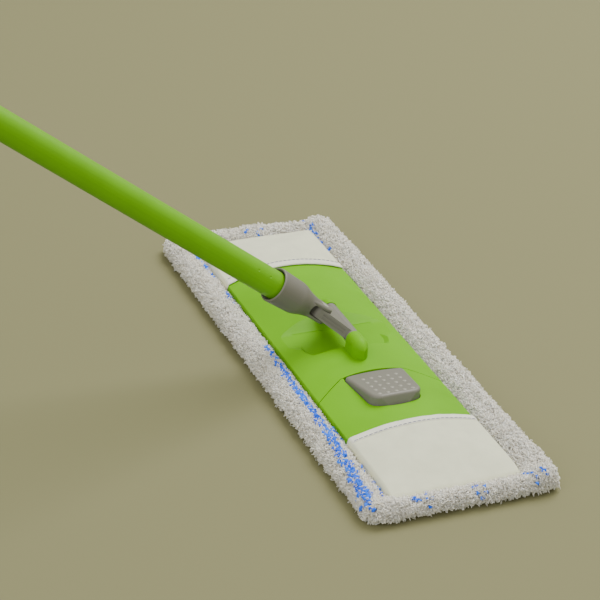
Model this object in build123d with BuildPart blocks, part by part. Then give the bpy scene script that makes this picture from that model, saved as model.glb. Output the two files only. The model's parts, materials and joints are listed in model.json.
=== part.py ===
from build123d import *
import os
from math import cos, radians, sin, sqrt, tan

# Flat mop with a folding base plate, a universal joint and a telescopic handle.
# Millimetres. +Z is up, the origin is the centre of the mop cover's underside, on the floor.
# X runs along the head, towards the end that carries the release pedal. The handle leans to -Y.

os.makedirs("parts", exist_ok=True)

# Mop cover
PAD_LENGTH = 421.0
PAD_WIDTH = 150.0
PAD_CORNER = 14.0
PAD_BASE = 5.0            # loops pressed flat under the plate
BACKING = 1.0             # cloth that the loops are sewn to
PAD_RIM = 12.0            # height of the soft border round the plate
PAD_RIM_ROUND = 5.0
RECESS_LENGTH = 396.0
RECESS_WIDTH = 111.0
RECESS_CORNER = 18.0
BACKING_GAP = 0.5
POCKET_MOUTH = 121.0      # distance from the head's centre to each pocket's mouth
POCKET_END = 197.0
CLOTH = 1.2
CLOTH_GAP = 0.3

# Base plate
PLATE_LENGTH = 380.0
PLATE_WIDTH = 104.0
PLATE_CORNER = 16.0
PLATE_BOTTOM = PAD_BASE + BACKING
PLATE_EDGE = 13.0         # height of the crown at the long edges
PLATE_CROWN = 22.0        # height of the crown along the centre line
TAPER_X = 158.0           # from here the crown falls towards the head's ends
TAPER_FALL = 0.3          # its slope there
PLATE_BEVEL = 1.2         # rounding of the crown's rim
SKIN = 2.2
RIB = 1.8
RIB_ALONG = 34.0          # the long ribs' distance from the centre line
RIB_PITCH = 46.0
RIB_COUNT = 8

# Groove that clears the joint when the handle is laid to one side
GROOVE_FLOOR = 15.5
GROOVE_FAR = -43.0
GROOVE_VALLEY = -28.0
VALLEY_ROUND = 15.0
GROOVE_FOOT = -10.0       # here the floor starts its gentle climb to the crown
GROOVE_CLIMB = 13.5       # its slope in degrees
FOOT_ROUND = 40.0
GROOVE_NEAR = 10.4        # a steep wall in the middle, with rounded corners
GROOVE_SIDE = 34.0        # half width of that wall
GROOVE_CORNER = 14.0
GROOVE_DRAFT = 55.0       # how far the groove's short sides lean outwards, in degrees
BED_HALF = 46.0           # the skin under the groove
BED_FAR = -48.0
BED_NEAR = 30.0

# Universal joint
JOINT_X = -9.0            # the handle's place along the barrel
JOINT_Z = 29.9
BARREL_FAR = -34.0
BARREL_NEAR = 12.0
BARREL_R = 6.0
TONGUE = 8.4
TONGUE_TIP_R = 7.5
PIVOT_RISE = 26.0         # from the barrel's axis to the fork's pin
PIN_R = 2.0
PIN_BEVEL = 0.3
RUNNING = 0.05            # radial clearance of a pin that turns in its hole
SIDE_GAP = 0.3
LUG_R = 6.5
LUG_STRAIGHT = 0.35       # share of a lug's length before its nose begins
NEAR_LUG = 21.5
FAR_LUG = 12.0
LEAN = 53.0               # the handle's lean towards -Y from upright, in degrees
TONGUE_FOOT = 19.0        # half width of the tongue where it meets the barrel
TONGUE_SHOULDER = 21.0    # how far below the fork's pin the tongue starts to narrow
TONGUE_TAPER = 30.0       # where the taper meets the round tip, in degrees
FLUTE = 1.4               # two shallow flutes along each narrow side of the tongue
FLUTE_LENGTH = 21.0
FLUTE_DEPTH = 0.7
FLUTE_OFFSET = 1.3

# Pole socket, measured along the handle's axis from the barrel's axis
FORK_HALF = 7.2
FORK_R = 7.8
FORK_ROUND = 9.9          # the fork is also kept inside this radius about the handle's axis
FORK_BEVEL = 1.6
FORK_END = 50.0
SLOT = 9.2
SLOT_END = 41.0
RIVET_HEAD_R = 3.6
RIVET_HEAD = 1.0
RIVET_GAP = 0.2
CONE_AT = 28.0            # from here the socket widens towards its neck
NECK_R = 9.8
NECK_AT = 41.0
SHOULDER_R = 13.3
SHOULDER_AT = 54.0
SHOULDER_FLARE = 0.1
RIM_R = 14.2
RIM_AT = 77.5
LIP = 1.2
MOUTH_R = 12.6
MOUTH_BEVEL = 0.5
MOUTH_DEPTH = 3.5
BELL_R = 11.3
SPIGOT_R = 10.3
SPIGOT_BORE_R = 8.0
SPIGOT_AT = 57.0
SPIGOT_FLOOR = 63.0
SPIGOT_END = 112.0
SPIGOT_LEAD = 2.0
SPIGOT_LEAD_R = 9.3

# Telescopic handle, measured the same way
LOWER_R = 11.0
LOWER_WALL = 0.6
LOWER_AT = 58.0
LOWER_END = 660.0
DENT_AT = (90.0, 102.5)
DENT_ANGLE = 33.0
DENT_R = 1.6
DENT_DEPTH = 0.45
UPPER_R = 9.5
UPPER_WALL = 0.6
UPPER_AT = 490.0
UPPER_END = 1200.0
BUSH_COLLAR = 8.0
BUSH_PLUG = 18.0
BUSH_GAP = 0.08           # radial clearance of the bush in the lower tube
COLLET_AT = 626.0
COLLET_END = 688.0
COLLET_R = 13.4
COLLET_BEVEL = 2.0
COLLET_SLOTS = 4
COLLET_TAPER = 14.0       # length of the cone that the nut presses on
COLLET_FALL = 1.8
COLLET_GAP = 0.35
FINGER_GAP = 0.1          # radial clearance round the upper tube
STOP_GAP = 0.2            # between the lower tube's end and the collet's step
SAW_CUT = 1.6
SAW_AT = 664.0
NUT_AT = 642.0
NUT_END = 694.0
NUT_R = 16.4
NUT_BEVEL = 1.5
NUT_NOSE = 6.0
NUT_NOSE_FALL = 3.5
NUT_BORE_GAP = 0.5
NUT_SEAT_GAP = 0.6
NUT_SEAT_R = 12.2
NUT_CONE_AT = 675.0
NUT_FLUTES = 18
NUT_FLUTE_R = 1.5
NUT_FLUTE_AT = 646.0
NUT_FLUTE = 38.0
GRIP_AT = 1082.0
GRIP_END = 1202.0
GRIP_R = 14.0
GRIP_BEVEL = 1.5
CAP_R = 13.5
CAP_PLUG = 24.0
CAP_COLLAR = 8.0
CAP_ROUND = 3.0
CAP_END = 1242.0
CAP_TAB = 9.0
TAB_R = 11.0
HANG_R = 4.5

# Fold and pedal
FOLD_X = 67.0
FOLD_Z = 9.5
FOLD_LIMIT = 75.0
NOTCH_SPARE = 1.5         # extra room at the fold's limit, in degrees
SEAM_X = 50.0
SEAM_BOW = 2.0            # the seam bows round the pedal's far edge
SEAM_HALF = 27.0
SEAM_GAP = 0.3
KNUCKLE_R = 3.0
FOLD_PIN_R = 1.5
FOLD_PIN = 18.0
ARM_MIDDLES = (34.0, 46.0)
ARM = 5.4
ARM_LOW = 6.7
ARM_THICK = 4.5
FLAP_KNUCKLE_Y = 40.0     # the flap's knuckle stands between two arms of the main half
FLAP_KNUCKLE = 5.8
ARM_ROOM = 19.8
ARM_ROOM_LENGTH = 25.0
ARM_ROOM_TOP = 12.8
WEB_BACK = 0.5            # the flap knuckle's web, behind and beyond the fold's axis
WEB_REACH = 9.0
WEB_TOP = 15.5
PEDAL_FAR = 51.5
PEDAL_NEAR = 92.5         # the near corners; the edge between them bows out
PEDAL_FAR_HALF = 25.0
PEDAL_NEAR_HALF = 20.8
PEDAL_FAR_BOW = 3.0
PEDAL_NEAR_BOW = 6.0
PEDAL_NEAR_ROUND = 9.0
PEDAL_FAR_ROUND = 4.0
PEDAL_GAP = 0.7
PEDAL_PIVOT_X = 55.5
PEDAL_PIVOT_Z = 12.5
PEDAL_TOP_FAR = 22.2
PEDAL_TOP_NEAR = 29.6
PEDAL_TOP_X = 94.9
PEDAL_WALL = 2.0
PEDAL_BOTTOM = 10.0
PEDAL_LIFT = 4.0          # the rim rises by this to the near end, so that the pedal can sink
PEDAL_LIFT_X = 60.0
PEDAL_LIFT_END = 101.0
PEDAL_BEVEL = 2.6
TRAY_INSET = 1.2
TRAY_FLOOR = 2.0
TRAY_WALL = 2.9
GATE = 8.0                # the tray's opening behind the pedal
SPRING_X = 82.0
SPRING_R = 4.0
SPRING_WIRE = 0.45
SPRING_TURNS = 6

half_plate = PLATE_WIDTH / 2
end_x = PLATE_LENGTH / 2
barrel_length = BARREL_NEAR - BARREL_FAR
tall = 60.0               # a height that clears the whole head
lean_cos = cos(radians(LEAN))
lean_sin = sin(radians(LEAN))

# The tongue leans with the handle. "up the handle" and "across the tongue" are its directions.
up_handle = Vector(0, -lean_sin, lean_cos)
across = Vector(0, lean_cos, lean_sin)
barrel_axis = Vector(JOINT_X, 0, JOINT_Z)
pivot = barrel_axis + up_handle * PIVOT_RISE
shaft = Plane(origin=barrel_axis, x_dir=(1, 0, 0), z_dir=up_handle)
shaft_section = Plane(origin=barrel_axis, x_dir=(1, 0, 0), z_dir=-across)
shaft_line = Axis(barrel_axis, up_handle)
tongue_face = Plane(origin=pivot, x_dir=(1, 0, 0), z_dir=-across)
fork_side = Plane(origin=barrel_axis, x_dir=across, z_dir=(1, 0, 0))


def finish(part, label):
    """Name a finished piece and write it."""
    part.label = label
    export_step(part, f"parts/{label}.step")


def crowned_section(half_width, edge_z, top_z, bottom_z):
    """The plate's cross-section: a shallow arc over straight sides."""
    with BuildSketch() as section:
        with BuildLine():
            ThreePointArc((-half_width, edge_z), (0, top_z), (half_width, edge_z))
            Polyline(
                (half_width, edge_z),
                (half_width, bottom_z),
                (-half_width, bottom_z),
                (-half_width, edge_z),
            )
        make_face()
    return section.sketch


def ring_section(inner, outer, start, end):
    """A rectangle beside the handle's axis, for a straight tube or sleeve."""
    with BuildSketch() as section:
        with BuildLine():
            Polyline((inner, start), (outer, start), (outer, end), (inner, end), close=True)
        make_face()
    return section.sketch


def flap_outline(clearance):
    """Plan of the part of the head that folds, grown by a clearance."""
    reach = PAD_LENGTH
    side = PAD_WIDTH
    with BuildSketch() as plan:
        with BuildLine():
            ThreePointArc((SEAM_X, -SEAM_HALF), (SEAM_X - SEAM_BOW, 0), (SEAM_X, SEAM_HALF))
            Polyline(
                (SEAM_X, SEAM_HALF),
                (FOLD_X, half_plate),
                (FOLD_X, side),
                (reach, side),
                (reach, -side),
                (FOLD_X, -side),
                (FOLD_X, -half_plate),
                (SEAM_X, -SEAM_HALF),
            )
        make_face()
        offset(amount=clearance, kind=Kind.INTERSECTION)
    return plan.sketch


def pedal_outline(clearance):
    """Plan of the pedal: a bowed trapezium with rounded corners, grown by a clearance."""
    with BuildSketch() as plan:
        with BuildLine():
            ThreePointArc(
                (PEDAL_FAR, -PEDAL_FAR_HALF),
                (PEDAL_FAR - PEDAL_FAR_BOW, 0),
                (PEDAL_FAR, PEDAL_FAR_HALF),
            )
            Line((PEDAL_FAR, PEDAL_FAR_HALF), (PEDAL_NEAR, PEDAL_NEAR_HALF))
            ThreePointArc(
                (PEDAL_NEAR, PEDAL_NEAR_HALF),
                (PEDAL_NEAR + PEDAL_NEAR_BOW, 0),
                (PEDAL_NEAR, -PEDAL_NEAR_HALF),
            )
            Line((PEDAL_NEAR, -PEDAL_NEAR_HALF), (PEDAL_FAR, -PEDAL_FAR_HALF))
        make_face()
        fillet(plan.vertices().group_by(Axis.X)[-1], radius=PEDAL_NEAR_ROUND)
        fillet(plan.vertices().group_by(Axis.X)[0], radius=PEDAL_FAR_ROUND)
        if clearance:
            offset(amount=clearance)
    return plan.sketch


# ---------------------------------------------------------------- working solids
def plate_form(grow, bottom, half_length):
    """The plate's outer form, crowned across and falling to both ends, grown by an amount."""
    end_z = PLATE_CROWN + grow - TAPER_FALL * (half_length - TAPER_X)
    with BuildPart() as form:
        with BuildSketch(Plane.YZ.offset(-half_length)):
            add(
                crowned_section(
                    half_plate + grow,
                    PLATE_EDGE + grow,
                    PLATE_CROWN + grow,
                    bottom,
                )
            )
        extrude(amount=2 * half_length)
        fillet(form.edges().filter_by(Axis.Z), radius=PLATE_CORNER + grow)
        form_top = form.faces().sort_by(Axis.Z)[-1]
        fillet(form_top.edges(), radius=PLATE_BEVEL)
        with BuildSketch(Plane.XZ.offset(-PAD_WIDTH)):
            with BuildLine():
                Polyline(
                    (-half_length, bottom),
                    (-half_length, end_z),
                    (-TAPER_X, PLATE_CROWN + grow),
                    (TAPER_X, PLATE_CROWN + grow),
                    (half_length, end_z),
                    (half_length, bottom),
                    close=True,
                )
            make_face()
        extrude(amount=2 * PAD_WIDTH, mode=Mode.INTERSECT)
    return form.part


crown = plate_form(0, PLATE_BOTTOM, end_x)
under_skin = plate_form(-SKIN, 0, end_x - SKIN)

# Ribs under the plate: two along it and a row across it
with BuildPart() as ribs:
    with BuildSketch(Plane.XY.offset(PLATE_BOTTOM)):
        with Locations((0, -RIB_ALONG), (0, RIB_ALONG)):
            Rectangle(PLATE_LENGTH, RIB)
        with GridLocations(RIB_PITCH, 0, RIB_COUNT, 1):
            Rectangle(RIB, PLATE_WIDTH)
    extrude(amount=tall)
    add(crown, mode=Mode.INTERSECT)

with BuildPart() as plate_blank:
    add(crown)
    add(under_skin, mode=Mode.SUBTRACT)
    add(ribs.part)

# Both sides of the fold are cut back below its axis, so that they meet at the limit
notch_angle = FOLD_LIMIT / 2 + NOTCH_SPARE
notch_half = (FOLD_Z + 1) * tan(radians(notch_angle))
with BuildPart() as fold_notch:
    with BuildSketch(Plane.XZ.offset(-PAD_WIDTH)):
        with BuildLine():
            Polyline(
                (FOLD_X, FOLD_Z),
                (FOLD_X - notch_half, -1),
                (FOLD_X + notch_half, -1),
                close=True,
            )
        make_face()
    extrude(amount=2 * PAD_WIDTH)

with BuildPart() as flap_side:
    with BuildSketch(Plane.XY.offset(-1)):
        add(flap_outline(SEAM_GAP))
    extrude(amount=tall)

with BuildPart() as flap_only:
    with BuildSketch(Plane.XY.offset(-1)):
        add(flap_outline(-SEAM_GAP))
    extrude(amount=tall)

# ---------------------------------------------------------------- main plate
with BuildPart() as groove_bed:
    with BuildSketch(Plane.XY.offset(GROOVE_FLOOR - SKIN)):
        with Locations(((BED_FAR + BED_NEAR) / 2, 0)):
            Rectangle(BED_NEAR - BED_FAR, 2 * BED_HALF)
    extrude(amount=tall)
    add(crown, mode=Mode.INTERSECT)

rise = PLATE_CROWN - GROOVE_FLOOR
far_run = GROOVE_VALLEY - GROOVE_FAR
near_run = rise / tan(radians(GROOVE_CLIMB))
with BuildPart() as groove:
    with BuildSketch(Plane.XZ.offset(-PAD_WIDTH / 2)) as groove_profile:
        with BuildLine():
            Polyline(
                (GROOVE_VALLEY - 2 * far_run, GROOVE_FLOOR + 2 * rise),
                (GROOVE_VALLEY, GROOVE_FLOOR),
                (GROOVE_FOOT, GROOVE_FLOOR),
                (GROOVE_FOOT + 2 * near_run, GROOVE_FLOOR + 2 * rise),
                close=True,
            )
        make_face()
        floor_ends = groove_profile.vertices().group_by(Axis.Y)[0].sort_by(Axis.X)
        fillet(floor_ends[0], radius=VALLEY_ROUND)
        fillet(floor_ends[1], radius=FOOT_ROUND)
    extrude(amount=PAD_WIDTH)
    with BuildSketch(Plane.XY.offset(GROOVE_FLOOR)) as pocket_plan:
        with Locations(((GROOVE_NEAR + GROOVE_VALLEY) / 2, 0)):
            Rectangle(GROOVE_NEAR - GROOVE_VALLEY, 2 * GROOVE_SIDE)
        fillet(pocket_plan.vertices().group_by(Axis.X)[-1], radius=GROOVE_CORNER)
    extrude(amount=2 * rise, taper=-GROOVE_DRAFT)

# A wall across the main half behind the pedal, which closes it and carries the fold's arms
with BuildPart() as seam_wall:
    with BuildSketch(Plane.XY.offset(PLATE_BOTTOM)):
        with Locations((SEAM_X - RIB - SEAM_BOW / 2, 0)):
            Rectangle(2 * RIB + SEAM_BOW, PLATE_WIDTH)
    extrude(amount=tall)
    add(crown, mode=Mode.INTERSECT)

# Beyond the steep wall the crown keeps its full height
with BuildPart() as near_wall:
    with BuildSketch(Plane.XY.offset(GROOVE_FLOOR - SKIN)):
        with Locations(((GROOVE_NEAR + BED_NEAR) / 2, 0)):
            Rectangle(BED_NEAR - GROOVE_NEAR, 2 * GROOVE_SIDE)
    extrude(amount=tall)
    add(crown, mode=Mode.INTERSECT)


def lug(face_x, length, direction):
    """A bullet-shaped lug on the crown, its flat face towards the barrel."""
    tip = face_x + direction * length
    bend = face_x + direction * length * LUG_STRAIGHT
    low = GROOVE_FLOOR - SKIN / 2
    quarter = cos(radians(45))
    with BuildPart() as body:
        with BuildSketch(Plane.XY.offset(low)):
            with BuildLine():
                Polyline((bend, LUG_R), (face_x, LUG_R), (face_x, -LUG_R), (bend, -LUG_R))
                ThreePointArc(
                    (bend, -LUG_R),
                    (bend + (tip - bend) * quarter, -LUG_R * quarter),
                    (tip, 0),
                )
                ThreePointArc(
                    (tip, 0),
                    (bend + (tip - bend) * quarter, LUG_R * quarter),
                    (bend, LUG_R),
                )
            make_face()
        extrude(amount=JOINT_Z - low)
        with BuildSketch(Plane.XZ):
            with BuildLine():
                Polyline(
                    (tip, JOINT_Z),
                    (face_x, JOINT_Z),
                    (face_x, JOINT_Z + LUG_R),
                    (bend, JOINT_Z + LUG_R),
                )
                ThreePointArc(
                    (bend, JOINT_Z + LUG_R),
                    (bend + (tip - bend) * quarter, JOINT_Z + LUG_R * quarter),
                    (tip, JOINT_Z),
                )
            make_face()
        revolve(axis=Axis((0, 0, JOINT_Z), (1, 0, 0)))
    return body.part


near_lug = lug(BARREL_NEAR + SIDE_GAP, NEAR_LUG, 1)
far_lug = lug(BARREL_FAR - SIDE_GAP, FAR_LUG, -1)
base_pin_far = BARREL_FAR - SIDE_GAP - FAR_LUG / 2
base_pin_near = BARREL_NEAR + SIDE_GAP + NEAR_LUG / 2

with BuildPart() as main_plate:
    add(plate_blank.part)
    add(groove_bed.part)
    add(groove.part, mode=Mode.SUBTRACT)
    add(near_wall.part)
    add(seam_wall.part)
    add(flap_side.part, mode=Mode.SUBTRACT)
    add(fold_notch.part, mode=Mode.SUBTRACT)
    add(near_lug)
    add(far_lug)
    # arms that carry the fold's knuckles under the flap
    for side in (-1, 1):
        for middle in ARM_MIDDLES:
            with BuildSketch(Plane.XY.offset(ARM_LOW)):
                with Locations(((SEAM_X + FOLD_X) / 2 - RIB, side * middle)):
                    Rectangle(FOLD_X - SEAM_X + 2 * RIB, ARM)
            extrude(amount=ARM_THICK)
            with BuildSketch(Plane.XZ.offset(-side * middle - ARM / 2)):
                with Locations((FOLD_X, FOLD_Z)):
                    Circle(KNUCKLE_R)
            extrude(amount=ARM)
        with BuildSketch(Plane.XZ.offset(-side * FLAP_KNUCKLE_Y - FOLD_PIN / 2)):
            with Locations((FOLD_X, FOLD_Z)):
                Circle(FOLD_PIN_R)
        extrude(amount=FOLD_PIN, mode=Mode.SUBTRACT)
    # bore for the base pin, open at the far lug and blind in the near one
    with BuildSketch(Plane.YZ.offset(BARREL_FAR - 2 * FAR_LUG)):
        with Locations((0, JOINT_Z)):
            Circle(PIN_R)
    extrude(amount=base_pin_near - BARREL_FAR + 2 * FAR_LUG, mode=Mode.SUBTRACT)

finish(main_plate.part, "main_plate")

with BuildPart() as base_pin:
    with BuildSketch(Plane.YZ.offset(base_pin_far)):
        with Locations((0, JOINT_Z)):
            Circle(PIN_R)
    extrude(amount=base_pin_near - base_pin_far)
    chamfer(base_pin.edges().filter_by(GeomType.CIRCLE), length=PIN_BEVEL)

finish(base_pin.part, "base_pin")

# ---------------------------------------------------------------- flap plate
tray_far = SEAM_X + TRAY_INSET
tray_near = PEDAL_NEAR + PEDAL_NEAR_BOW + PEDAL_GAP + TRAY_WALL
tray_half = PEDAL_FAR_HALF + PEDAL_GAP + TRAY_WALL
with BuildPart() as tray:
    with BuildSketch(Plane.XY.offset(PLATE_BOTTOM)):
        with Locations(((tray_far + tray_near) / 2, 0)):
            Rectangle(tray_near - tray_far, 2 * tray_half)
    extrude(amount=tall)
    add(crown, mode=Mode.INTERSECT)

with BuildPart() as flap_plate:
    add(plate_blank.part)
    add(flap_only.part, mode=Mode.INTERSECT)
    # room for the knuckle arms of the main half
    for side in (-1, 1):
        with BuildSketch(Plane.XY.offset(0)):
            with Locations(((SEAM_X + FOLD_X) / 2 + KNUCKLE_R, side * FLAP_KNUCKLE_Y)):
                Rectangle(ARM_ROOM_LENGTH, ARM_ROOM)
        extrude(amount=ARM_ROOM_TOP, mode=Mode.SUBTRACT)
    add(fold_notch.part, mode=Mode.SUBTRACT)
    add(tray.part)
    with BuildSketch(Plane.XY.offset(PLATE_BOTTOM + TRAY_FLOOR)):
        add(pedal_outline(PEDAL_GAP))
        with Locations((SEAM_X, 0)):
            Rectangle(GATE, 2 * PEDAL_FAR_HALF)
    extrude(amount=tall, mode=Mode.SUBTRACT)
    # knuckle and its web, one on each side of the tray
    for side in (-1, 1):
        with BuildSketch(Plane.XZ.offset(-side * FLAP_KNUCKLE_Y - FLAP_KNUCKLE / 2)):
            with Locations((FOLD_X, FOLD_Z)):
                Circle(KNUCKLE_R)
            with BuildLine():
                Polyline(
                    (FOLD_X - WEB_BACK, FOLD_Z),
                    (FOLD_X + KNUCKLE_R, FOLD_Z),
                    (FOLD_X + WEB_REACH, WEB_TOP),
                    (FOLD_X - WEB_BACK, WEB_TOP),
                    close=True,
                )
            make_face()
        extrude(amount=FLAP_KNUCKLE)
        with BuildSketch(Plane.XZ.offset(-side * FLAP_KNUCKLE_Y - FOLD_PIN / 2)):
            with Locations((FOLD_X, FOLD_Z)):
                Circle(FOLD_PIN_R + RUNNING)
        extrude(amount=FOLD_PIN, mode=Mode.SUBTRACT)
    with BuildSketch(Plane.XZ.offset(-tray_half)):
        with Locations((PEDAL_PIVOT_X, PEDAL_PIVOT_Z)):
            Circle(FOLD_PIN_R)
    extrude(amount=2 * tray_half, mode=Mode.SUBTRACT)

finish(flap_plate.part, "flap_plate")

with BuildPart() as fold_pins:
    for side in (-1, 1):
        with BuildSketch(Plane.XZ.offset(-side * FLAP_KNUCKLE_Y - FOLD_PIN / 2)):
            with Locations((FOLD_X, FOLD_Z)):
                Circle(FOLD_PIN_R)
        extrude(amount=FOLD_PIN)

finish(fold_pins.part, "fold_pins")

# ---------------------------------------------------------------- pedal
pedal_radius = sqrt((PEDAL_TOP_X - PEDAL_PIVOT_X) ** 2 + (PEDAL_TOP_NEAR - PEDAL_PIVOT_Z) ** 2)
pedal_slope = (PEDAL_TOP_NEAR - PEDAL_TOP_FAR) / (PEDAL_TOP_X - PEDAL_FAR)


def pedal_near_x(height, inset):
    """The near wall's place at a height: an arc about the pivot, so that it can sink."""
    radius = pedal_radius - inset
    return PEDAL_PIVOT_X + sqrt(radius ** 2 - (height - PEDAL_PIVOT_Z) ** 2)


def pedal_profile(inset, bottom):
    """Side view of the pedal, with its top and near wall moved in by an inset."""
    far = PEDAL_FAR - 2 * PEDAL_FAR_BOW
    top_z = PEDAL_TOP_NEAR - inset * (1 + pedal_slope)
    middle = (top_z + bottom) / 2
    with BuildSketch() as profile:
        with BuildLine():
            Polyline(
                (pedal_near_x(bottom, inset), bottom),
                (far, bottom),
                (far, top_z - pedal_slope * (pedal_near_x(top_z, inset) - far)),
                (pedal_near_x(top_z, inset), top_z),
            )
            ThreePointArc(
                (pedal_near_x(top_z, inset), top_z),
                (pedal_near_x(middle, inset), middle),
                (pedal_near_x(bottom, inset), bottom),
            )
        make_face()
    return profile.sketch


def pedal_form(inset, bottom):
    """The pedal's solid form, moved in by an inset."""
    with BuildPart() as form:
        with BuildSketch(Plane.XZ.offset(-tall)):
            add(pedal_profile(inset, bottom))
        extrude(amount=2 * tall)
        with BuildSketch():
            add(pedal_outline(-inset))
        extrude(amount=tall, mode=Mode.INTERSECT)
    return form.part


with BuildPart() as pedal:
    add(pedal_form(0, PEDAL_BOTTOM))
    pedal_top = pedal.faces().sort_by(Axis.Z)[-1]
    fillet(pedal_top.edges(), radius=PEDAL_BEVEL)
    add(pedal_form(PEDAL_WALL, PLATE_BOTTOM), mode=Mode.SUBTRACT)
    # the rim rises towards the near end
    with BuildSketch(Plane.XZ.offset(-tall)):
        with BuildLine():
            Polyline(
                (PEDAL_LIFT_X, PEDAL_BOTTOM),
                (PEDAL_LIFT_X, 0),
                (PEDAL_LIFT_END, 0),
                (PEDAL_LIFT_END, PEDAL_BOTTOM + PEDAL_LIFT),
                close=True,
            )
        make_face()
    extrude(amount=2 * tall, mode=Mode.SUBTRACT)
    with BuildSketch(Plane.XZ.offset(-PEDAL_FAR_HALF - 1)):
        with Locations((PEDAL_PIVOT_X, PEDAL_PIVOT_Z)):
            Circle(FOLD_PIN_R + RUNNING)
    extrude(amount=2 * PEDAL_FAR_HALF + 2, mode=Mode.SUBTRACT)

finish(pedal.part, "pedal")

with BuildPart() as pedal_pin:
    with BuildSketch(Plane.XZ.offset(-tray_half + 2 * SEAM_GAP)):
        with Locations((PEDAL_PIVOT_X, PEDAL_PIVOT_Z)):
            Circle(FOLD_PIN_R)
    extrude(amount=2 * (tray_half - 2 * SEAM_GAP))

finish(pedal_pin.part, "pedal_pin")

# Coil spring between the tray's floor and the underside of the pedal
spring_low = PLATE_BOTTOM + TRAY_FLOOR + SPRING_WIRE
spring_top_x = SPRING_X - SPRING_R
spring_top_z = PEDAL_TOP_NEAR - pedal_slope * (PEDAL_TOP_X - spring_top_x)
spring_high = spring_top_z - PEDAL_WALL - 2 * SPRING_WIRE
spring_height = spring_high - spring_low
with BuildPart() as pedal_spring:
    with BuildLine(Plane((SPRING_X, 0, spring_low))) as coil:
        Helix(pitch=spring_height / SPRING_TURNS, height=spring_height, radius=SPRING_R)
    with BuildSketch(Plane(coil.line @ 0, z_dir=coil.line % 0)):
        Circle(SPRING_WIRE)
    sweep()

finish(pedal_spring.part, "pedal_spring")

# ---------------------------------------------------------------- universal joint
taper_x = TONGUE_TIP_R * cos(radians(TONGUE_TAPER))
taper_y = TONGUE_TIP_R * sin(radians(TONGUE_TAPER))
with BuildPart() as joint_link:
    with BuildSketch(Plane.YZ.offset(BARREL_FAR)):
        with Locations((0, JOINT_Z)):
            Circle(BARREL_R)
    extrude(amount=barrel_length)
    with BuildSketch(tongue_face.offset(-TONGUE / 2)):
        Circle(TONGUE_TIP_R)
        with BuildLine():
            Polyline(
                (-TONGUE_FOOT, -PIVOT_RISE),
                (TONGUE_FOOT, -PIVOT_RISE),
                (TONGUE_FOOT, -TONGUE_SHOULDER),
                (taper_x, taper_y),
                (-taper_x, taper_y),
                (-TONGUE_FOOT, -TONGUE_SHOULDER),
                close=True,
            )
        make_face()
    extrude(amount=TONGUE)
    # shallow flutes along both narrow sides
    for side in (-1, 1):
        foot = pivot + Vector(side * TONGUE_FOOT, 0, 0) - up_handle * TONGUE_SHOULDER
        top = pivot + Vector(side * taper_x, 0, 0) + up_handle * taper_y
        along_side = (top - foot).normalized()
        outward = along_side.cross(across) * -side
        with BuildSketch(Plane(origin=(foot + top) / 2, x_dir=along_side, z_dir=outward)):
            with Locations((0, -FLUTE_OFFSET), (0, FLUTE_OFFSET)):
                Rectangle(FLUTE_LENGTH, FLUTE)
        extrude(amount=-FLUTE_DEPTH, mode=Mode.SUBTRACT)
    with BuildSketch(tongue_face.offset(-TONGUE)):
        Circle(PIN_R + RUNNING)
    extrude(amount=2 * TONGUE, mode=Mode.SUBTRACT)
    with BuildSketch(Plane.YZ.offset(BARREL_FAR - 1)):
        with Locations((0, JOINT_Z)):
            Circle(PIN_R + RUNNING)
    extrude(amount=barrel_length + 2, mode=Mode.SUBTRACT)

finish(joint_link.part, "joint_link")

# ---------------------------------------------------------------- pole socket
slot_middle = SLOT_END - SLOT / 2
with BuildPart() as fork_block:
    with BuildSketch(tongue_face.offset(-FORK_HALF)):
        Circle(FORK_R)
        with Locations((0, (FORK_END - PIVOT_RISE) / 2)):
            Rectangle(2 * FORK_R, FORK_END - PIVOT_RISE)
    extrude(amount=2 * FORK_HALF)
    fork_rims = fork_block.edges().filter_by(GeomType.CIRCLE).filter_by(
        lambda edge: abs(edge.radius - FORK_R) < RUNNING
    )
    fillet(fork_rims, radius=FORK_BEVEL)
    with BuildSketch(shaft):
        Circle(FORK_ROUND)
    extrude(amount=2 * FORK_END, mode=Mode.INTERSECT)

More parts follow.
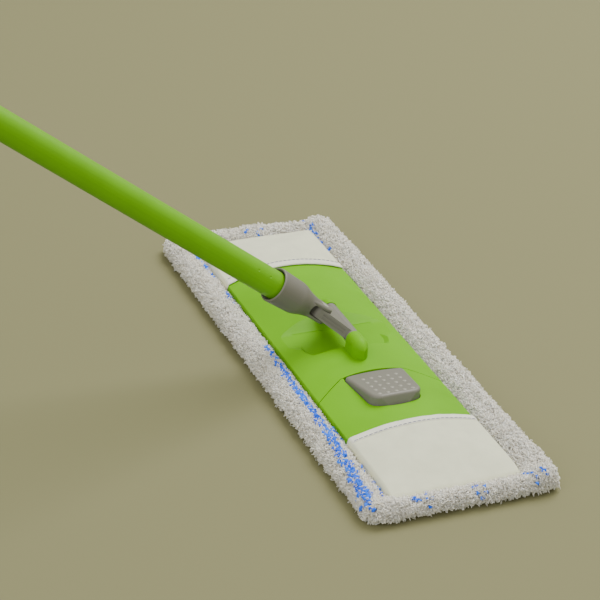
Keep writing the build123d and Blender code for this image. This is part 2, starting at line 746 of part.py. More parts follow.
with BuildPart() as pole_socket:
    # bell, shoulder and neck, turned about the handle's axis
    with BuildSketch(shaft_section):
        with BuildLine():
            Polyline((0, CONE_AT), (FORK_HALF, CONE_AT), (NECK_R, NECK_AT))
            Spline(
                (NECK_R, NECK_AT),
                (SHOULDER_R, SHOULDER_AT),
                tangents=[(NECK_R - FORK_HALF, NECK_AT - CONE_AT), (SHOULDER_FLARE, 1)],
            )
            Line((SHOULDER_R, SHOULDER_AT), (RIM_R, RIM_AT - LIP))
            ThreePointArc(
                (RIM_R, RIM_AT - LIP),
                (RIM_R - LIP + LIP * cos(radians(45)), RIM_AT - LIP + LIP * sin(radians(45))),
                (RIM_R - LIP, RIM_AT),
            )
            Polyline(
                (RIM_R - LIP, RIM_AT),
                (MOUTH_R, RIM_AT - MOUTH_BEVEL),
                (BELL_R, RIM_AT - MOUTH_DEPTH),
                (BELL_R, SPIGOT_AT),
                (SPIGOT_R, SPIGOT_AT),
                (SPIGOT_R, SPIGOT_END - SPIGOT_LEAD),
                (SPIGOT_LEAD_R, SPIGOT_END),
                (0, SPIGOT_END),
                (0, CONE_AT),
            )
        make_face()
    revolve(axis=shaft_line)
    # fork
    add(fork_block.part)
    # slot for the tongue, with a round closed end
    with BuildSketch(fork_side.offset(-2 * FORK_R)):
        with Locations((0, slot_middle / 2)):
            Rectangle(SLOT, slot_middle)
        with Locations((0, slot_middle)):
            Circle(SLOT / 2)
    extrude(amount=4 * FORK_R, mode=Mode.SUBTRACT)
    # pin hole with a recess for the rivet's heads
    with BuildSketch(tongue_face.offset(-2 * FORK_HALF)):
        Circle(PIN_R)
    extrude(amount=4 * FORK_HALF, mode=Mode.SUBTRACT)
    for side in (-1, 1):
        with BuildSketch(tongue_face.offset(side * FORK_HALF)):
            Circle(RIVET_HEAD_R + RIVET_GAP)
        extrude(amount=-side * RIVET_HEAD, mode=Mode.SUBTRACT)
    # the spigot is hollow
    with BuildSketch(shaft.offset(SPIGOT_FLOOR)):
        Circle(SPIGOT_BORE_R)
    extrude(amount=SPIGOT_END - SPIGOT_FLOOR, mode=Mode.SUBTRACT)

finish(pole_socket.part, "pole_socket")

with BuildPart() as fork_pin:
    with BuildSketch(tongue_face.offset(-FORK_HALF + RIVET_HEAD)):
        Circle(PIN_R)
    extrude(amount=2 * (FORK_HALF - RIVET_HEAD))
    for side in (-1, 1):
        with BuildSketch(tongue_face.offset(side * FORK_HALF)):
            Circle(RIVET_HEAD_R)
        extrude(amount=-side * RIVET_HEAD)

finish(fork_pin.part, "fork_pin")

# ---------------------------------------------------------------- handle
with BuildPart() as lower_tube:
    with BuildSketch(shaft_section):
        add(ring_section(LOWER_R - LOWER_WALL, LOWER_R, LOWER_AT, LOWER_END))
    revolve(axis=shaft_line)
    # crimp dents that hold the tube on the socket's spigot
    dent_x = cos(radians(DENT_ANGLE))
    dent_y = sin(radians(DENT_ANGLE))
    dent_out = LOWER_R + DENT_R - DENT_DEPTH
    for along in DENT_AT:
        dent = Location((dent_out * dent_x, dent_out * dent_y, 0))
        with Locations(shaft.offset(along).location * dent):
            Sphere(DENT_R, mode=Mode.SUBTRACT)

finish(lower_tube.part, "lower_tube")

with BuildPart() as upper_tube:
    with BuildSketch(shaft_section):
        add(ring_section(UPPER_R - UPPER_WALL, UPPER_R, UPPER_AT, UPPER_END))
    revolve(axis=shaft_line)

finish(upper_tube.part, "upper_tube")

# Bush on the upper tube's hidden end: a plug with a collar that slides in the lower tube
bush_r = LOWER_R - LOWER_WALL - BUSH_GAP
with BuildPart() as guide_bush:
    with BuildSketch(shaft_section):
        with BuildLine():
            Polyline(
                (0, UPPER_AT - BUSH_COLLAR),
                (bush_r, UPPER_AT - BUSH_COLLAR),
                (bush_r, UPPER_AT),
                (UPPER_R - UPPER_WALL, UPPER_AT),
                (UPPER_R - UPPER_WALL, UPPER_AT + BUSH_PLUG),
                (0, UPPER_AT + BUSH_PLUG),
                close=True,
            )
        make_face()
    revolve(axis=shaft_line)

finish(guide_bush.part, "guide_bush")

# Collet: a sleeve on the lower tube whose slotted fingers grip the upper tube
with BuildPart() as clamp_collet:
    with BuildSketch(shaft_section):
        with BuildLine():
            Polyline(
                (LOWER_R, COLLET_AT),
                (COLLET_R, COLLET_AT + COLLET_BEVEL),
                (COLLET_R, COLLET_END - COLLET_TAPER),
                (COLLET_R - COLLET_FALL, COLLET_END),
                (UPPER_R + FINGER_GAP, COLLET_END),
                (UPPER_R + FINGER_GAP, LOWER_END + STOP_GAP),
                (LOWER_R, LOWER_END + STOP_GAP),
                close=True,
            )
        make_face()
    revolve(axis=shaft_line)
    with BuildSketch(shaft.offset(SAW_AT)):
        with PolarLocations(0, COLLET_SLOTS // 2, angular_range=180):
            Rectangle(4 * COLLET_R, SAW_CUT)
    extrude(amount=COLLET_END, mode=Mode.SUBTRACT)

finish(clamp_collet.part, "clamp_collet")

# Fluted nut that is turned to squeeze the collet
with BuildPart() as lock_nut:
    with BuildSketch(shaft_section):
        with BuildLine():
            Polyline(
                (COLLET_R + COLLET_GAP, NUT_AT),
                (NUT_R - NUT_BEVEL, NUT_AT),
                (NUT_R, NUT_AT + NUT_BEVEL),
                (NUT_R, NUT_END - NUT_NOSE),
                (NUT_R - NUT_NOSE_FALL, NUT_END),
                (UPPER_R + NUT_BORE_GAP, NUT_END),
                (UPPER_R + NUT_BORE_GAP, COLLET_END + NUT_SEAT_GAP),
                (NUT_SEAT_R, COLLET_END + NUT_SEAT_GAP),
                (COLLET_R + COLLET_GAP, NUT_CONE_AT),
                close=True,
            )
        make_face()
    revolve(axis=shaft_line)
    with BuildSketch(shaft.offset(NUT_FLUTE_AT)):
        with PolarLocations(NUT_R + NUT_FLUTE_R / 2, NUT_FLUTES):
            Circle(NUT_FLUTE_R)
    extrude(amount=NUT_FLUTE, mode=Mode.SUBTRACT)

finish(lock_nut.part, "lock_nut")

with BuildPart() as grip_sleeve:
    with BuildSketch(shaft_section):
        with BuildLine():
            Polyline(
                (UPPER_R, GRIP_AT),
                (GRIP_R - GRIP_BEVEL, GRIP_AT),
                (GRIP_R, GRIP_AT + GRIP_BEVEL),
                (GRIP_R, GRIP_END),
                (UPPER_R, GRIP_END),
                close=True,
            )
        make_face()
    revolve(axis=shaft_line)

finish(grip_sleeve.part, "grip_sleeve")

# End cap with a flat tab and a hole to hang the mop from
tab_centre = CAP_END - TAB_R
with BuildPart() as hang_cap:
    with BuildSketch(shaft.offset(UPPER_END - CAP_PLUG)):
        Circle(UPPER_R - UPPER_WALL)
    extrude(amount=GRIP_END - UPPER_END + CAP_PLUG)
    with BuildSketch(shaft.offset(GRIP_END)):
        Circle(CAP_R)
    extrude(amount=CAP_COLLAR)
    collar_rim = hang_cap.edges().filter_by(GeomType.CIRCLE).sort_by(shaft_line)[-1]
    fillet(collar_rim, radius=CAP_ROUND)
    with BuildSketch(shaft_section.offset(-CAP_TAB / 2)):
        with Locations((0, (GRIP_END + tab_centre) / 2)):
            Rectangle(2 * TAB_R, tab_centre - GRIP_END)
        with Locations((0, tab_centre)):
            Circle(TAB_R)
    extrude(amount=CAP_TAB)
    with BuildSketch(shaft_section.offset(-CAP_TAB)):
        with Locations((0, tab_centre)):
            Circle(HANG_R)
    extrude(amount=2 * CAP_TAB, mode=Mode.SUBTRACT)

finish(hang_cap.part, "hang_cap")

# ---------------------------------------------------------------- mop cover
with BuildPart() as cover_blank:
    with BuildSketch():
        RectangleRounded(PAD_LENGTH, PAD_WIDTH, PAD_CORNER)
    extrude(amount=PAD_RIM)
    fillet(cover_blank.faces().sort_by(Axis.Z)[-1].edges(), radius=PAD_RIM_ROUND)
    with BuildSketch(Plane.XY.offset(PAD_BASE)):
        RectangleRounded(RECESS_LENGTH, RECESS_WIDTH, RECESS_CORNER)
    extrude(amount=tall, mode=Mode.SUBTRACT)
    add(fold_notch.part, mode=Mode.SUBTRACT)

with BuildPart() as backing_blank:
    with BuildSketch(Plane.XY.offset(PAD_BASE)):
        RectangleRounded(
            RECESS_LENGTH - 2 * BACKING_GAP,
            RECESS_WIDTH - 2 * BACKING_GAP,
            RECESS_CORNER - BACKING_GAP,
        )
    extrude(amount=BACKING)
    add(fold_notch.part, mode=Mode.SUBTRACT)


def side_of_fold(direction):
    """Everything on one side of the fold's plane, less a small gap."""
    with BuildPart() as half:
        with BuildSketch(Plane.XY.offset(-1)):
            with Locations((FOLD_X + direction * (PAD_LENGTH + SEAM_GAP), 0)):
                Rectangle(2 * PAD_LENGTH, 2 * PAD_WIDTH)
        extrude(amount=tall)
    return half.part


for direction, word in ((-1, "main"), (1, "flap")):
    half = side_of_fold(direction)
    for blank, kind in ((cover_blank, "loop_pad"), (backing_blank, "backing")):
        with BuildPart() as piece:
            add(blank.part)
            add(half, mode=Mode.INTERSECT)
        finish(piece.part, f"{kind}_{word}")

# Pockets: cloth over each end of the plate, closed at the end and sewn down along its sides
with BuildPart() as pocket_blank:
    add(plate_form(CLOTH_GAP + CLOTH, PLATE_BOTTOM, POCKET_END))
    add(plate_form(CLOTH_GAP, 0, end_x + CLOTH_GAP), mode=Mode.SUBTRACT)
    with BuildSketch(Plane.YZ.offset(POCKET_MOUTH)):
        Rectangle(2 * PAD_WIDTH, 2 * tall)
    extrude(amount=PAD_LENGTH, mode=Mode.INTERSECT)

finish(pocket_blank.part, "pocket_near")

with BuildPart() as pocket_far:
    add(pocket_blank.part)
    mirror(about=Plane.YZ, mode=Mode.REPLACE)

finish(pocket_far.part, "pocket_far")
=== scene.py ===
import json
import math

import bpy
import numpy as np
from mathutils import Matrix, Vector, noise
from mathutils.bvhtree import BVHTree


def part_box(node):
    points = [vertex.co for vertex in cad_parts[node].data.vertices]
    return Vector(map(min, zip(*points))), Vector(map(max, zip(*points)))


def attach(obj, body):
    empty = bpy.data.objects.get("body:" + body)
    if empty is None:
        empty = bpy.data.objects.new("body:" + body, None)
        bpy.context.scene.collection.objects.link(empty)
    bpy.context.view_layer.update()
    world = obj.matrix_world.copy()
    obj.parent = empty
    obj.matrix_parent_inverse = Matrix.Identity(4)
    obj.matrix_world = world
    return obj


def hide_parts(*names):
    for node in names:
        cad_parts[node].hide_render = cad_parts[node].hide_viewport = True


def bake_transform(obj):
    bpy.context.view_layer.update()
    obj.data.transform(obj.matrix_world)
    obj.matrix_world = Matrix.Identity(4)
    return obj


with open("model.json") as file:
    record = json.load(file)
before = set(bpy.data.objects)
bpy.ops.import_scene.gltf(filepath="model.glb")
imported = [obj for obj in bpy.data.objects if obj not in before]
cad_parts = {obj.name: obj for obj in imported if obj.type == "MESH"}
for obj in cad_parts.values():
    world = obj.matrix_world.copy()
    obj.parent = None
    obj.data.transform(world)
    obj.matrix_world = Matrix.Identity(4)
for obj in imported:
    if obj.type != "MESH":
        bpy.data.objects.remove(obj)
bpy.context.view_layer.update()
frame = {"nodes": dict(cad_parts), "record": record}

MAIN = "plate_main"
FLAP = "plate_flap"
MM = 0.001

# Sizes read from the frame
pad_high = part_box("loop_pad_flap")[1]
backing_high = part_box("backing_flap")[1]
plate_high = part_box("flap_plate")[1]
pocket_low, pocket_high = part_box("pocket_near")

# The plate's crown: an arc over the width, falling to both ends
CROWN_RISE = 9 * MM       # the arc's height over the plate's width
TAPER_FROM = 158 * MM     # distance from the centre where the crown starts to fall
TAPER_FALL = 0.3          # slope of that fall
RIDGE_SOFT = 3 * MM       # the ridge where the fall starts is rounded off by this
half_width = plate_high.y
crown_radius = (half_width ** 2 + CROWN_RISE ** 2) / (2 * CROWN_RISE)

NOISE_SHIFT = (7.3, 3.1, 5.7)  # each seed moves the noise by this, so no two patterns are alike
NOISE_FORM = (1.0, 2.0, 2)     # its fractal dimension, its lacunarity and its octaves
RAY_FROM = 0.1            # rays that look for a surface start from this height
TINY = 1e-12
rng = np.random.default_rng(20)


# ------------------------------------------------------------------ small tools
def mesh_piece(name, verts, faces):
    """A smooth mesh object from arrays of corners and faces."""
    mesh = bpy.data.meshes.new(name)
    mesh.from_pydata(np.asarray(verts).tolist(), [], [tuple(f) for f in faces])
    mesh.update()
    mesh.polygons.foreach_set("use_smooth", np.ones(len(mesh.polygons), bool))
    piece = bpy.data.objects.new(name, mesh)
    bpy.context.scene.collection.objects.link(piece)
    return piece


def points_of(piece):
    """The vertices of a mesh as an array."""
    flat = np.zeros(len(piece.data.vertices) * 3, np.float32)
    piece.data.vertices.foreach_get("co", flat)
    return flat.reshape(-1, 3).astype(float)


def set_points(piece, points):
    """Moves the vertices of a mesh to the places in an array."""
    piece.data.vertices.foreach_set("co", points.astype(np.float32).ravel())
    piece.data.update()


def unit(vectors):
    """Each row of an array, brought to a length of 1."""
    return vectors / np.maximum(np.linalg.norm(vectors, axis=1, keepdims=True), TINY)


def smoothstep(low, high, value):
    """Rises smoothly from 0 at one limit to 1 at the other."""
    t = np.clip((value - low) / (high - low), 0, 1)
    return t * t * (3 - 2 * t)


def waves(points, size, seed):
    """Smooth noise, about -1 to 1, at each point, with features of a given size."""
    shift = Vector([seed * step for step in NOISE_SHIFT])
    return np.array([noise.fractal(Vector(p) / size + shift, *NOISE_FORM) for p in points])


def across_fold(piece):
    """Bakes a soft piece of the cover's placement into its mesh."""
    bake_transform(piece)


def sheet_grid(rows, columns):
    """Faces of a grid of rows by columns corners."""
    index = np.arange(rows * columns).reshape(rows, columns)
    corners = (index[:-1, :-1], index[1:, :-1], index[1:, 1:], index[:-1, 1:])
    return np.stack(corners, -1).reshape(-1, 4)


def tube_sides(rings, sides, base=0):
    """Faces round a tube whose corners follow each other ring by ring."""
    faces = []
    for low in range(base, base + (rings - 1) * sides, sides):
        for side in range(sides):
            beside = (side + 1) % sides
            faces.append((low + side, low + beside, low + sides + beside, low + sides + side))
    return faces


def surface_tree(piece):
    """A piece's surface, to be searched by rays."""
    return BVHTree.FromObject(piece, bpy.context.evaluated_depsgraph_get())


def surface_under(tree, x, y):
    """The highest surface at a place, and its normal."""
    hit, normal, _, _ = tree.ray_cast(Vector((x, y, RAY_FROM)), Vector((0, 0, -1)))
    return hit, normal


# ------------------------------------------------------------------ materials
BANDS_IN_UNIT = 3.2       # a wave texture of scale 1 has about this many bands in a unit


def new_material(name, colour, roughness, **sockets):
    """A Principled material, its node tree and its shader."""
    made = bpy.data.materials.new(name)
    made.use_nodes = True
    shader = made.node_tree.nodes["Principled BSDF"]
    shader.inputs["Base Color"].default_value = (*colour, 1)
    shader.inputs["Roughness"].default_value = roughness
    for socket, value in sockets.items():
        shader.inputs[socket.replace("_", " ")].default_value = value
    return made, made.node_tree, shader


def noise_node(tree, size, detail=2.0, stretch=(1, 1, 1)):
    """Noise in the piece's own coordinates with features of about a given size."""
    place = tree.nodes.new("ShaderNodeTexCoord")
    scale = tree.nodes.new("ShaderNodeMapping")
    scale.inputs["Scale"].default_value = stretch
    texture = tree.nodes.new("ShaderNodeTexNoise")
    texture.inputs["Scale"].default_value = 1 / size
    texture.inputs["Detail"].default_value = detail
    tree.links.new(place.outputs["Object"], scale.inputs["Vector"])
    tree.links.new(scale.outputs["Vector"], texture.inputs["Vector"])
    return texture.outputs["Fac"]


def mix_colours(tree, factor, first, second, low=0.35, high=0.65):
    """Two colours, mixed by a factor over a range."""
    ramp = tree.nodes.new("ShaderNodeValToRGB")
    ramp.color_ramp.elements[0].position = low
    ramp.color_ramp.elements[0].color = (*first, 1)
    ramp.color_ramp.elements[1].position = high
    ramp.color_ramp.elements[1].color = (*second, 1)
    tree.links.new(factor, ramp.inputs["Fac"])
    return ramp.outputs["Color"]


def spread_values(tree, factor, low, high, start=0.3, end=0.7):
    """A value that goes from one limit to the other as a factor goes from start to end."""
    span = tree.nodes.new("ShaderNodeMapRange")
    span.inputs["From Min"].default_value = start
    span.inputs["From Max"].default_value = end
    span.inputs["To Min"].default_value = low
    span.inputs["To Max"].default_value = high
    tree.links.new(factor, span.inputs["Value"])
    return span.outputs["Result"]


def add_bump(tree, shader, height, depth):
    """Bump of a given depth in metres, on top of any bump already there."""
    bump = tree.nodes.new("ShaderNodeBump")
    bump.inputs["Distance"].default_value = depth
    bump.inputs["Strength"].default_value = 1.0
    tree.links.new(height, bump.inputs["Height"])
    before = shader.inputs["Normal"].links
    if before:
        tree.links.new(before[0].from_socket, bump.inputs["Normal"])
    tree.links.new(bump.outputs["Normal"], shader.inputs["Normal"])


def moulded_plastic(name, colour, roughness, grain, depth, specular=0.5):
    """Injection-moulded plastic: fine grain, faint flow marks, slight sinks and uneven gloss."""
    flow_size, gloss_size, sink_size = 60 * MM, 14 * MM, 25 * MM
    sink_depth = 0.12 * MM
    made, tree, shader = new_material(name, colour, roughness, Specular_IOR_Level=specular)
    darker = [c * 0.93 for c in colour]
    lighter = [min(1, c * 1.05) for c in colour]
    flow = noise_node(tree, flow_size, 3)
    tree.links.new(mix_colours(tree, flow, darker, lighter), shader.inputs["Base Color"])
    uneven = noise_node(tree, gloss_size, 4)
    gloss = spread_values(tree, uneven, roughness - 0.05, roughness + 0.07)
    tree.links.new(gloss, shader.inputs["Roughness"])
    add_bump(tree, shader, noise_node(tree, grain, 2), depth)
    add_bump(tree, shader, noise_node(tree, sink_size, 2), sink_depth)
    return made


def painted_tube(name, colour, roughness):
    """Powder-painted steel: a faint orange peel under a soft gloss."""
    patch_size, gloss_size, peel_size = 30 * MM, 6 * MM, 1.6 * MM
    peel_depth = 0.02 * MM
    made, tree, shader = new_material(name, colour, roughness, Specular_IOR_Level=0.2)
    darker = [c * 0.94 for c in colour]
    patches = noise_node(tree, patch_size, 3)
    tree.links.new(mix_colours(tree, patches, darker, colour), shader.inputs["Base Color"])
    uneven = noise_node(tree, gloss_size, 3)
    gloss = spread_values(tree, uneven, roughness - 0.04, roughness + 0.08)
    tree.links.new(gloss, shader.inputs["Roughness"])
    add_bump(tree, shader, noise_node(tree, peel_size, 2), peel_depth)
    return made


def steel(name, colour, roughness):
    """Bright steel with fine scratches."""
    scratch_size, scratch_depth = 0.8 * MM, 0.01 * MM
    made, tree, shader = new_material(name, colour, roughness, Metallic=1.0)
    scratches = noise_node(tree, scratch_size, 4, stretch=(0.15, 1, 1))
    gloss = spread_values(tree, scratches, roughness - 0.08, roughness + 0.12)
    tree.links.new(gloss, shader.inputs["Roughness"])
    add_bump(tree, shader, scratches, scratch_depth)
    return made


def grip_rubber(name, colour):
    """Soft rubber with fine pebbles."""
    pebble_size, patch_size = 1.8 * MM, 9 * MM
    pebble_depth = 0.25 * MM
    made, tree, shader = new_material(name, colour, 0.75)
    cells = tree.nodes.new("ShaderNodeTexVoronoi")
    cells.inputs["Scale"].default_value = 1 / pebble_size
    place = tree.nodes.new("ShaderNodeTexCoord")
    tree.links.new(place.outputs["Object"], cells.inputs["Vector"])
    add_bump(tree, shader, cells.outputs["Distance"], pebble_depth)
    lighter = [c * 1.4 for c in colour]
    patches = noise_node(tree, patch_size, 4)
    tree.links.new(mix_colours(tree, patches, colour, lighter), shader.inputs["Base Color"])
    return made


def yarn(name, shade, light, sheen, depth=0.0):
    """Microfibre yarn: uneven colour, fine fibres, and light that sinks in by a given share."""
    patch_size, fibre_size = 9 * MM, 0.5 * MM
    fibre_depth = 0.25 * MM
    made, tree, shader = new_material(name, light, 0.95, Sheen_Weight=sheen, Sheen_Roughness=0.5)
    shader.inputs["Specular IOR Level"].default_value = 0.1
    shader.inputs["Subsurface Weight"].default_value = depth
    shader.inputs["Subsurface Radius"].default_value = (1.0, 0.9, 0.75)
    shader.inputs["Subsurface Scale"].default_value = 3.5 * MM
    patches = noise_node(tree, patch_size, 4)
    tree.links.new(mix_colours(tree, patches, shade, light), shader.inputs["Base Color"])
    add_bump(tree, shader, noise_node(tree, fibre_size, 3), fibre_depth)
    return made


def woven(name, colour, thread):
    """Plain woven cloth: crossing threads and slight unevenness."""
    patch_size, thread_depth = 12 * MM, 0.06 * MM
    made, tree, shader = new_material(name, colour, 0.85, Sheen_Weight=0.25, Sheen_Roughness=0.4)
    shader.inputs["Specular IOR Level"].default_value = 0.2
    place = tree.nodes.new("ShaderNodeTexCoord")
    for direction in ("X", "Y"):
        threads = tree.nodes.new("ShaderNodeTexWave")
        threads.bands_direction = direction
        threads.inputs["Scale"].default_value = 1 / (BANDS_IN_UNIT * thread)
        threads.inputs["Distortion"].default_value = 0.6
        threads.inputs["Detail"].default_value = 1.0
        tree.links.new(place.outputs["Object"], threads.inputs["Vector"])
        add_bump(tree, shader, threads.outputs["Fac"], thread_depth)
    darker = [c * 0.93 for c in colour]
    patches = noise_node(tree, patch_size, 5)
    tree.links.new(mix_colours(tree, patches, darker, colour), shader.inputs["Base Color"])
    return made


LIME = (0.122, 0.36, 0.0005)
PILE_LIGHT = (0.99, 0.945, 0.85)
PILE_SHADE = (0.93, 0.865, 0.76)
materials = {
    "plate_plastic": moulded_plastic("lime_plastic", LIME, 0.42, 0.7 * MM, 0.012 * MM, 0.08),
    "grey_plastic": moulded_plastic("grey_plastic", (0.138, 0.134, 0.116), 0.48, 0.5 * MM, 0.03 * MM),
    "green_tube": painted_tube("green_paint", (0.125, 0.365, 0.0005), 0.38),
    "grey_tube": painted_tube("grey_paint", (0.36, 0.36, 0.345), 0.34),
    "dark_plastic": moulded_plastic("dark_plastic", (0.1, 0.1, 0.096), 0.5, 0.5 * MM, 0.03 * MM),
    "grip_rubber": grip_rubber("grip_rubber", (0.045, 0.045, 0.045)),
    "steel_pin": steel("pin_steel", (0.6, 0.6, 0.6), 0.3),
    "spring_steel": steel("spring_steel", (0.5, 0.5, 0.51), 0.25),
    "rivet": steel("rivet_steel", (0.55, 0.55, 0.54), 0.4),
    "loop_pile": yarn("cream_yarn", PILE_SHADE, PILE_LIGHT, 0.35, 0.8),
    "backing_cloth": woven("backing_weave", (0.6, 0.58, 0.54), 0.5 * MM),
    "pocket_cloth": woven("pocket_weave", (0.69, 0.71, 0.55), 0.45 * MM),
}
blue_yarn = yarn("blue_yarn", (0.01, 0.11, 0.85), (0.025, 0.2, 1.0), 0.1)
# the pedal's dots get a lighter grey than the pedal: a painted highlight on the domes' tops
dot_highlight_grey = moulded_plastic("dot_highlight_grey", (0.24, 0.235, 0.21), 0.36, 0.5 * MM, 0.02 * MM)
hem_cloth = woven("hem_weave", (0.76, 0.76, 0.68), 0.45 * MM)
thread_blue = yarn("seam_thread", (0.03, 0.035, 0.16), (0.07, 0.08, 0.27), 0.0)

for part in frame["record"]["subparts"]:
    for slot in frame["nodes"][part["node"]].material_slots:
        slot.material = materials[part["material_slot"]]


# ------------------------------------------------------------------ the padded cover
def rounded_outline(half_x, half_y, radius, along=150, aside=52, corner=12):
    """Points round a rounded rectangle, as many on each stretch whatever its size."""
    centres = [(1, 1), (-1, 1), (-1, -1), (1, -1)]
    points = []
    for number, (sx, sy) in enumerate(centres):
        centre = np.array([sx * (half_x - radius), sy * (half_y - radius)])
        turn = math.pi / 2 * (number + np.arange(corner) / (corner - 1))
        arc = centre + radius * np.stack([np.cos(turn), np.sin(turn)], -1)
        nx, ny = centres[(number + 1) % 4]
        after = np.array([nx * (half_x - radius), ny * (half_y - radius)])
        angle = math.pi / 2 * (number + 1)
        after = after + radius * np.array([math.cos(angle), math.sin(angle)])
        count = along if number % 2 == 0 else aside
        share = (np.arange(1, count) / count)[:, None]
        points += [arc, arc[-1] * (1 - share) + after * share]
    return np.concatenate(points)


RIM = [  # (share of the way in from the outer edge, height in mm), round the border's section
    (0.34, 1.6), (0.1, 1.9), (0.0, 4.2), (0.02, 8.0), (0.12, 11.6), (0.32, 13.1),
    (0.58, 12.2), (0.8, 9.8), (0.95, 6.8), (1.04, 4.9),
]
PAD_CORNER = 8 * MM
RECESS_CORNER = 18 * MM
EDGE_IN = 0.4 * MM        # the padded form starts this far inside the CAD pad's edge
VOXEL = 3.2 * MM
SWELL_PRESSURE = 4
SWELL_STEPS = 20
SWELL_LIMIT = 2.2 * MM
RESTING_BELOW = 3 * MM    # what is lower than this lies on the floor


def pad_form():
    """The cover's body: a flat slab with a soft border round the plate."""
    outer = rounded_outline(pad_high.x - EDGE_IN, pad_high.y - EDGE_IN, PAD_CORNER)
    inner = rounded_outline(backing_high.x, backing_high.y, RECESS_CORNER)
    count = len(outer)
    verts = []
    for share, height in RIM:
        ring = outer * (1 - share) + inner * share
        verts.append(np.column_stack([ring, np.full(count, height * MM)]))
    faces = tube_sides(len(RIM), count)
    faces.append(tuple(range(count))[::-1])
    faces.append(tuple(range((len(RIM) - 1) * count, len(RIM) * count)))
    return mesh_piece("mop_pad", np.concatenate(verts), faces)


def apply_modifiers(piece):
    """Turns what the modifiers make into the piece's own mesh."""
    graph = bpy.context.evaluated_depsgraph_get()
    mesh = bpy.data.meshes.new_from_object(piece.evaluated_get(graph))
    piece.modifiers.clear()
    piece.data = mesh


def swell(piece):
    """Stuffs the border by a cloth simulation with pressure; what lies flat stays put."""
    rest = points_of(piece)
    flat_part = (np.abs(rest[:, 0]) < backing_high.x) & (np.abs(rest[:, 1]) < backing_high.y)
    resting = rest[:, 2] < RESTING_BELOW
    held = piece.vertex_groups.new(name="held")
    held.add(np.nonzero(flat_part | resting)[0].tolist(), 1.0, "REPLACE")
    cloth = piece.modifiers.new("swell", "CLOTH")
    cloth.settings.quality = 4
    cloth.settings.use_pressure = True
    cloth.settings.uniform_pressure_force = SWELL_PRESSURE
    cloth.settings.vertex_group_mass = "held"
    cloth.settings.effector_weights.gravity = 0
    cloth.point_cache.frame_start = 1
    cloth.point_cache.frame_end = SWELL_STEPS
    for step in range(1, SWELL_STEPS + 1):
        bpy.context.scene.frame_set(step)
    apply_modifiers(piece)
    move = points_of(piece) - rest
    length = np.linalg.norm(move, axis=1, keepdims=True)
    set_points(piece, rest + move * np.minimum(1, SWELL_LIMIT / np.maximum(length, TINY)))
    bpy.context.scene.frame_set(1)


LUMP = 1.5 * MM           # height of the border's lumps
LUMP_SIZES = (9 * MM, 3.5 * MM)
LUMPS_INSIDE = 2 * MM     # the lumps grow from this far inside the backing's edge
LUMPS_OUTSIDE = 3 * MM    # and are full this far outside it

# The right border stands higher and further out, from the plate's edge on
RIGHT_OVER = 9 * MM       # it rises over this width
RIGHT_RISE = 2.8 * MM
RIGHT_OUT = 1.8 * MM
DRIFT_SIZE = 45 * MM      # its height drifts up and down along the head, over this length
DRIFT_RISE = 0.8 * MM
# A crease runs along that border
CREASE_Y = 64 * MM
CREASE_WIDE = 2.4 * MM
CREASE_DEEP = 2.4 * MM
CREASE_WANDER = 2 * MM    # it wanders aside with the same drift
CREASE_GROWS = (-60 * MM, -20 * MM)
CREASE_FADES = (120 * MM, 160 * MM)
# The near end's right corner reaches out to the right, and the far end's left one beyond the far end
CORNER_OUT = 4 * MM
NEAR_ALONG = (150 * MM, 205 * MM)
NEAR_ACROSS = (55 * MM, 70 * MM)
FAR_OVER = 7 * MM
FAR_ACROSS = (10 * MM, 50 * MM)


def settled(points):
    """The cover isn't quite even: the right border stands higher, and two corners reach out."""
    x, y, z = points.T.copy()
    share = z / pad_high.z
    right = smoothstep(half_width, half_width + RIGHT_OVER, y)
    drift = waves(np.stack([x, 0 * x, 0 * x], -1), DRIFT_SIZE, 4)
    middle = smoothstep(*CREASE_GROWS, x) * (1 - smoothstep(*CREASE_FADES, x))
    crease = np.exp(-((y - CREASE_Y - CREASE_WANDER * drift) / CREASE_WIDE) ** 2) * middle
    points[:, 2] += share * right * (RIGHT_RISE + DRIFT_RISE * drift) - share * crease * CREASE_DEEP
    points[:, 1] += share * right * RIGHT_OUT
    points[:, 1] += smoothstep(*NEAR_ALONG, x) * smoothstep(*NEAR_ACROSS, y) * CORNER_OUT
    far_end = smoothstep(backing_high.x, backing_high.x + FAR_OVER, -x)
    points[:, 0] -= far_end * (1 - smoothstep(*FAR_ACROSS, y)) * CORNER_OUT
    return points


def make_pad():
    """The cover's padded body, swollen, lumpy round its border and a little uneven."""
    pad = pad_form()
    remesh = pad.modifiers.new("even", "REMESH")
    remesh.mode = "VOXEL"
    remesh.voxel_size = VOXEL
    remesh.use_smooth_shade = True
    apply_modifiers(pad)
    swell(pad)
    finer = pad.modifiers.new("finer", "SUBSURF")
    finer.levels = finer.render_levels = 1
    apply_modifiers(pad)
    points = points_of(pad)
    normals = np.array([v.normal for v in pad.data.vertices])
    lumps = sum(0.5 * waves(points, size, seed) for seed, size in enumerate(LUMP_SIZES, 1))
    border = np.maximum(
        smoothstep(backing_high.x - LUMPS_INSIDE, backing_high.x + LUMPS_OUTSIDE, np.abs(points[:, 0])),
        smoothstep(backing_high.y - LUMPS_INSIDE, backing_high.y + LUMPS_OUTSIDE, np.abs(points[:, 1])),
    )
    points += normals * (lumps * border * LUMP)[:, None]
    set_points(pad, settled(points))
    pad.data.polygons.foreach_set("use_smooth", np.ones(len(pad.data.polygons), bool))
    pad.data.materials.clear()
    pad.data.materials.append(materials["loop_pile"])
    return pad


